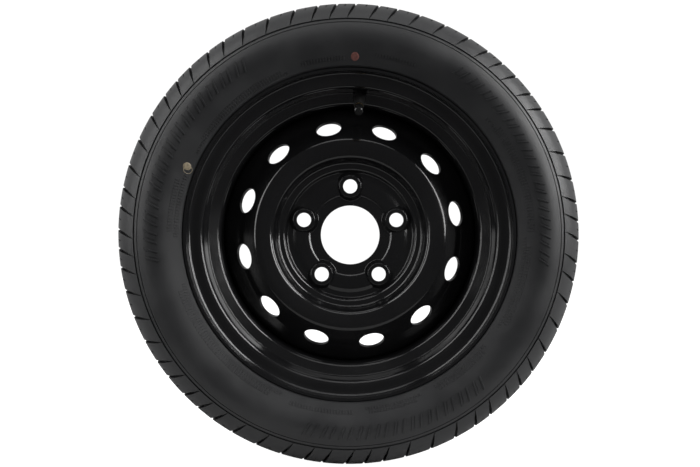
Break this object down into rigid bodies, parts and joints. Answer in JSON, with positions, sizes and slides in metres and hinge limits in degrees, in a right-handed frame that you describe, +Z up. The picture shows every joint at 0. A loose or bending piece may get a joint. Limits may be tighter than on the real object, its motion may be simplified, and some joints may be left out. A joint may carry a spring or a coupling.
{
  "type": "trailer wheel",
  "caption": "Pressed steel trailer wheel with a tubeless tyre, oval hand holes around the dished disc, bolt bosses and a snap-in valve whose cap unscrews.",
  "frame": {"origin": "centre of the wheel: on its axle line, midway between the rim's flanges", "axes": "Y along the axle line with the outboard face toward -Y, +Z up with the valve near the top, +X to the right seen from outboard"},
  "size_m": [0.526, 0.2026, 0.5258],
  "materials": {
    "tyre_rubber": "moulded rubber, faintly satin",
    "black_paint": "gloss black dip paint",
    "valve_rubber": "satin",
    "seal_rubber": "matte",
    "brass": "machined",
    "spring_steel": "drawn wire",
    "cap_plastic": "moulded gloss black"
  },
  "bodies": {
    "wheel": {"tyre": "tyre_rubber", "rim": "black_paint", "disc": "black_paint", "weld_beads": "black_paint", "valve_body": "valve_rubber", "valve_stem": "brass", "core_plug": "brass", "core_gasket": "seal_rubber", "core_spring": "spring_steel"},
    "core": {"core_pin": "brass", "core_cup": "seal_rubber"},
    "cap_lift": {"cap_seal": "seal_rubber"},
    "cap": {"valve_cap": "cap_plastic"}
  },
  "joints": [
    {"name": "core_press", "type": "slide", "parent": "wheel", "child": "core", "axis": [0.0327, 0.866, 0.4989], "range_m": [0, 0.0012], "stiffness_N_per_m": 800, "springref_m": -0.001, "deforming": ["core_spring"]},
    {"name": "cap_travel", "type": "slide", "parent": "wheel", "child": "cap_lift", "axis": [-0.0327, -0.866, -0.4989], "range_m": [0, 0.00873]},
    {"name": "cap_turn", "type": "hinge", "parent": "cap_lift", "child": "cap", "pos_m": [0.00888, -0.08682, 0.13554], "axis": [-0.0327, -0.866, -0.4989], "range_deg": [0, 3960]}
  ],
  "couplings": [
    {"joint": "cap_turn", "follows": "cap_travel", "rad_per_m": 7913.3}
  ]
}
